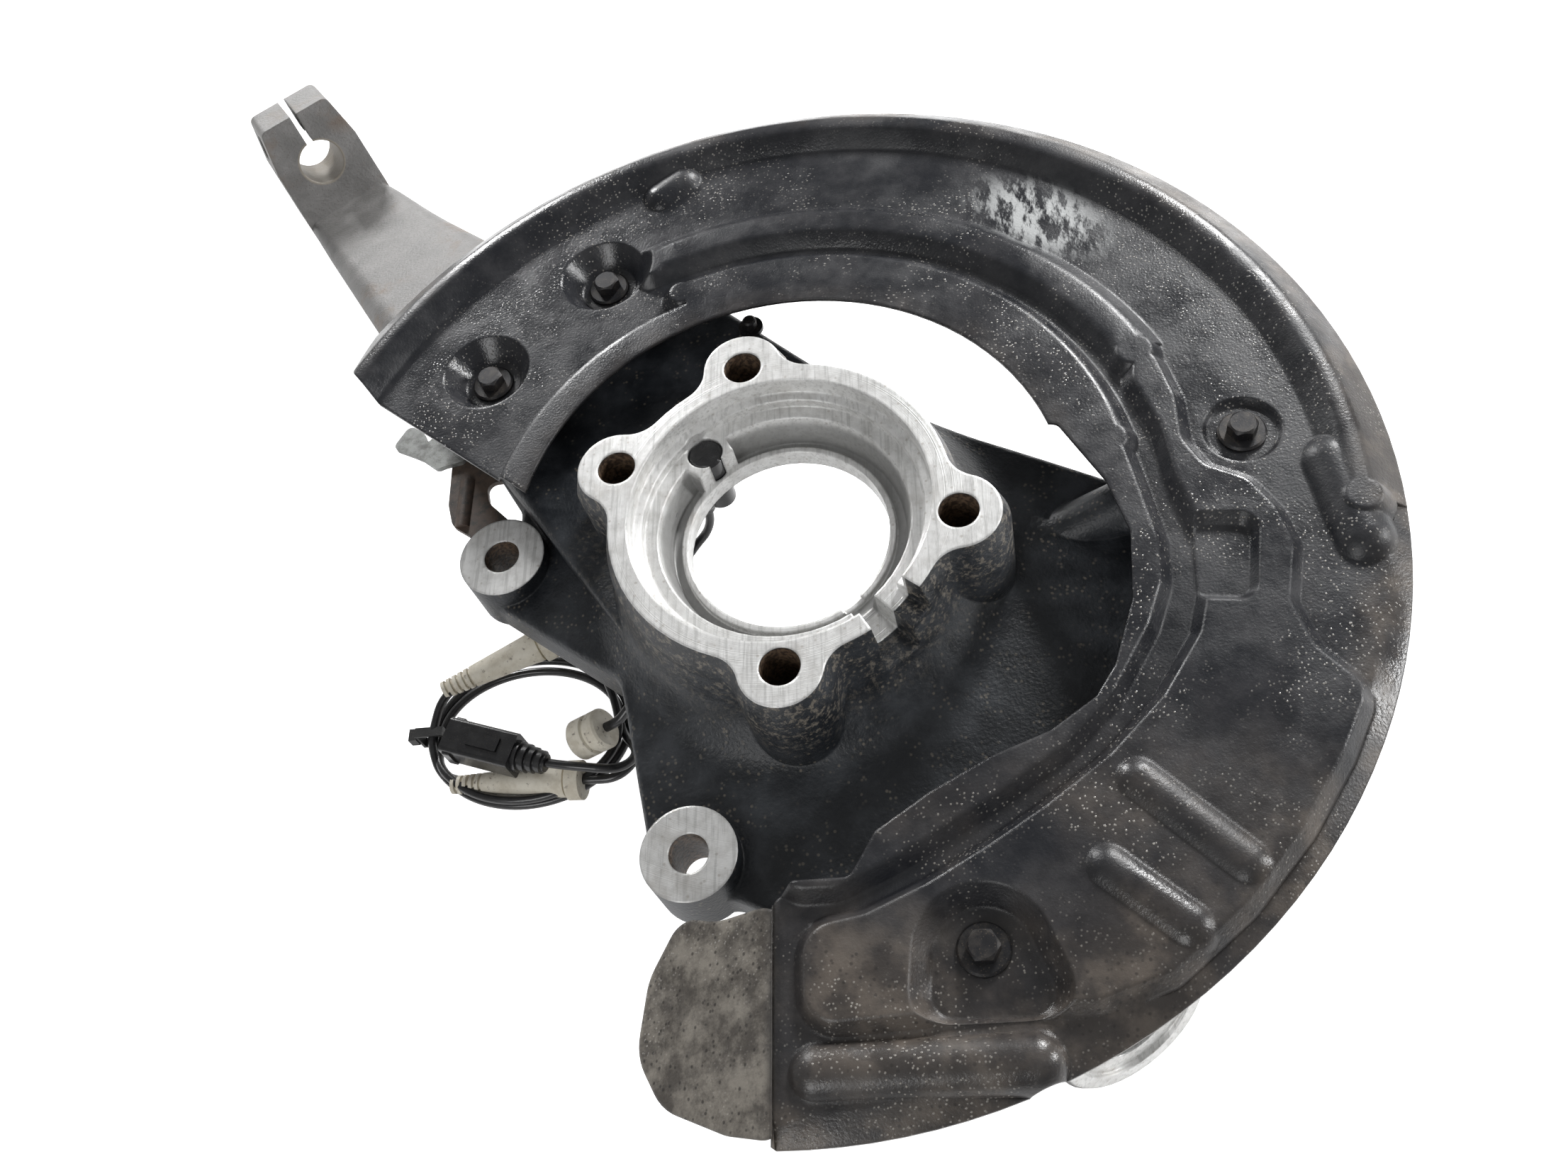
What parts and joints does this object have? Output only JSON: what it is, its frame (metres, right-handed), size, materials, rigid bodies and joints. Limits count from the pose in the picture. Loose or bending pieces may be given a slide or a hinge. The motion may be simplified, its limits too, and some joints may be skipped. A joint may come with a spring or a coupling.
{
  "type": "steering knuckle",
  "caption": "Cast steering knuckle with lobed hub bearing seat, pressed dust shield, caliper ears, joint clamp and coiled wheel speed sensor harness.",
  "frame": {"origin": "centre of the hub bearing bore at the machined outboard face", "axes": "+Z along the bearing bore axis, outboard; +Y towards the top of the pictured part"},
  "size_m": [0.4262, 0.4608, 0.1151],
  "materials": {
    "cast_metal": "cast and weathered, machined on the mating faces",
    "shield_paint": "worn black paint, speckled",
    "dark_steel": "dark, slightly rusted",
    "zinc_steel": "zinc plated, dull",
    "bracket_paint": "brown, weathered",
    "sensor_plastic": "glossy black",
    "plug_plastic": "glossy black",
    "tie_plastic": "matt black",
    "cream_moulding": "cream moulded rubber, soiled",
    "cable_rubber": "glossy black"
  },
  "bodies": {
    "root": {"knuckle_casting": "cast_metal", "dust_shield": "shield_paint", "shield_bolt_neck_outer": "dark_steel", "shield_bolt_neck_inner": "dark_steel", "shield_bolt_side": "dark_steel", "shield_bolt_lower": "dark_steel", "wheel_speed_sensor": "sensor_plastic", "sensor_o_ring": "cable_rubber", "sensor_screw": "zinc_steel", "harness_bracket": "bracket_paint", "bracket_bolt": "dark_steel", "harness_clip": "zinc_steel", "clip_rivet": "zinc_steel", "root_stud": "dark_steel", "sensor_lead": "cable_rubber", "harness_coil": "cable_rubber", "lower_sleeve": "cream_moulding", "upper_sleeve": "cream_moulding", "round_grommet": "cream_moulding", "cut_lead": "cable_rubber", "harness_plug": "plug_plastic", "plug_boot": "cable_rubber", "cable_tie": "tie_plastic"}
  },
  "joints": []
}
